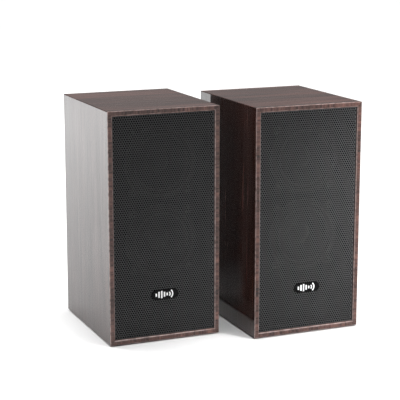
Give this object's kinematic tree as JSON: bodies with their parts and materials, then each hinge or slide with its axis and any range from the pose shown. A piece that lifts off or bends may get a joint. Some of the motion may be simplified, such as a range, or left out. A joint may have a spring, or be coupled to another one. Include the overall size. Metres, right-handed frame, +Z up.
{
  "type": "pair of desktop speakers",
  "caption": "Pair of wood-look desktop speakers: tall boxes with recessed perforated black grilles, a pill badge, full-range drivers, a rear port and rear controls on the right one.",
  "frame": {"origin": "on the desk, under the centre of the pair's bounding box", "axes": "+X from the left cabinet to the right one as a listener sees them, +Y from front to back, +Z up"},
  "size_m": [0.2214, 0.1476, 0.201],
  "materials": {
    "veneer": "dark walnut-look wrap, satin to glossy, lengthwise grain",
    "grille_paint": "satin black paint on perforated sheet",
    "badge_gloss": "glossy black",
    "baffle_plastic": "matte black moulding",
    "panel_board": "board with a matte black grained film",
    "black_moulding": "finely textured black moulding",
    "knob_plastic": "satin black",
    "red_plastic": "red, semi-gloss",
    "black_plastic": "black, semi-gloss",
    "amp_plate": "brushed, dark anodised",
    "zinc_steel": "zinc-plated steel",
    "black_steel": "black-painted pressed steel",
    "black_screw": "black zinc",
    "ferrite": "dark grey ferrite",
    "paper_cone": "coated black paper, fibrous",
    "cap_film": "black, half-gloss",
    "surround_rubber": "matte black",
    "spider_cloth": "impregnated cloth",
    "coil_copper": "enamelled copper",
    "foot_foam": "dark grey foam rubber",
    "board_green": "solder-masked laminate",
    "bare_aluminium": "extruded",
    "core_steel": "varnished laminations",
    "pin_metal": "nickel-plated"
  },
  "bodies": {
    "right_cabinet": {"right_cabinet_sleeve": "veneer", "right_feet": "foot_foam", "right_front_baffle": "baffle_plastic", "right_grille": "grille_paint", "right_badge": "badge_gloss", "right_back_panel": "panel_board", "right_port_tube": "black_moulding", "right_driver_baskets": "black_steel", "right_driver_magnets": "ferrite", "right_driver_plates": "zinc_steel", "right_screws": "black_screw", "right_terminal_block": "black_moulding", "right_upper_surround": "surround_rubber", "right_upper_spider": "spider_cloth", "right_lower_surround": "surround_rubber", "right_lower_spider": "spider_cloth", "amp_panel": "amp_plate", "control_pots": "zinc_steel", "input_jack": "black_plastic", "mains_inlet": "black_moulding", "mains_pins": "pin_metal", "power_switch_body": "black_moulding", "circuit_board": "board_green", "heat_sink": "bare_aluminium", "transformer": "core_steel"},
    "left_cabinet": {"left_cabinet_sleeve": "veneer", "left_feet": "foot_foam", "left_front_baffle": "baffle_plastic", "left_grille": "grille_paint", "left_badge": "badge_gloss", "left_back_panel": "panel_board", "left_port_tube": "black_moulding", "left_driver_baskets": "black_steel", "left_driver_magnets": "ferrite", "left_driver_plates": "zinc_steel", "left_screws": "black_screw", "left_terminal_block": "black_moulding", "left_upper_surround": "surround_rubber", "left_upper_spider": "spider_cloth", "left_lower_surround": "surround_rubber", "left_lower_spider": "spider_cloth"},
    "left_upper_diaphragm": {"left_upper_cone": "paper_cone", "left_upper_dust_cap": "cap_film", "left_upper_voice_coil": "coil_copper"},
    "left_lower_diaphragm": {"left_lower_cone": "paper_cone", "left_lower_dust_cap": "cap_film", "left_lower_voice_coil": "coil_copper"},
    "left_red_lever": {"left_red_lever": "red_plastic"},
    "left_black_lever": {"left_black_lever": "black_plastic"},
    "right_upper_diaphragm": {"right_upper_cone": "paper_cone", "right_upper_dust_cap": "cap_film", "right_upper_voice_coil": "coil_copper"},
    "right_lower_diaphragm": {"right_lower_cone": "paper_cone", "right_lower_dust_cap": "cap_film", "right_lower_voice_coil": "coil_copper"},
    "right_red_lever": {"right_red_lever": "red_plastic"},
    "right_black_lever": {"right_black_lever": "black_plastic"},
    "volume_knob": {"volume_knob": "knob_plastic"},
    "tone_knob": {"tone_knob": "knob_plastic"},
    "power_rocker": {"power_rocker": "black_plastic"}
  },
  "joints": [
    {"name": "cabinet_spread", "type": "slide", "parent": "right_cabinet", "child": "left_cabinet", "axis": [-1, 0, 0], "range_m": [-0.018, 0.3]},
    {"name": "left_upper_cone_travel", "type": "slide", "parent": "left_cabinet", "child": "left_upper_diaphragm", "axis": [0, 1, 0], "range_m": [-0.002, 0.002], "stiffness_N_per_m": 1200, "deforming": ["left_upper_surround", "left_upper_spider"]},
    {"name": "left_lower_cone_travel", "type": "slide", "parent": "left_cabinet", "child": "left_lower_diaphragm", "axis": [0, 1, 0], "range_m": [-0.002, 0.002], "stiffness_N_per_m": 1200, "deforming": ["left_lower_surround", "left_lower_spider"]},
    {"name": "left_red_lever_press", "type": "hinge", "parent": "left_cabinet", "child": "left_red_lever", "pos_m": [-0.0692, 0.0668, 0.0705], "axis": [1, 0, 0], "range_deg": [0, 20], "stiffness_Nm_per_rad": 0.06},
    {"name": "left_black_lever_press", "type": "hinge", "parent": "left_cabinet", "child": "left_black_lever", "pos_m": [-0.0522, 0.0668, 0.0705], "axis": [1, 0, 0], "range_deg": [0, 20], "stiffness_Nm_per_rad": 0.06},
    {"name": "right_upper_cone_travel", "type": "slide", "parent": "right_cabinet", "child": "right_upper_diaphragm", "axis": [0, 1, 0], "range_m": [-0.002, 0.002], "stiffness_N_per_m": 1200, "deforming": ["right_upper_surround", "right_upper_spider"]},
    {"name": "right_lower_cone_travel", "type": "slide", "parent": "right_cabinet", "child": "right_lower_diaphragm", "axis": [0, 1, 0], "range_m": [-0.002, 0.002], "stiffness_N_per_m": 1200, "deforming": ["right_lower_surround", "right_lower_spider"]},
    {"name": "right_red_lever_press", "type": "hinge", "parent": "right_cabinet", "child": "right_red_lever", "pos_m": [0.0522, 0.0404, 0.0705], "axis": [1, 0, 0], "range_deg": [0, 20], "stiffness_Nm_per_rad": 0.06},
    {"name": "right_black_lever_press", "type": "hinge", "parent": "right_cabinet", "child": "right_black_lever", "pos_m": [0.0692, 0.0404, 0.0705], "axis": [1, 0, 0], "range_deg": [0, 20], "stiffness_Nm_per_rad": 0.06},
    {"name": "volume_turn", "type": "hinge", "parent": "right_cabinet", "child": "volume_knob", "pos_m": [0.0437, 0.0442, 0.117], "axis": [0, 1, 0], "range_deg": [-150, 150]},
    {"name": "tone_turn", "type": "hinge", "parent": "right_cabinet", "child": "tone_knob", "pos_m": [0.0777, 0.0442, 0.117], "axis": [0, 1, 0], "range_deg": [-150, 150]},
    {"name": "power_switch", "type": "hinge", "parent": "right_cabinet", "child": "power_rocker", "pos_m": [0.0787, 0.0387, 0.039], "axis": [1, 0, 0], "range_deg": [0, 20]}
  ]
}
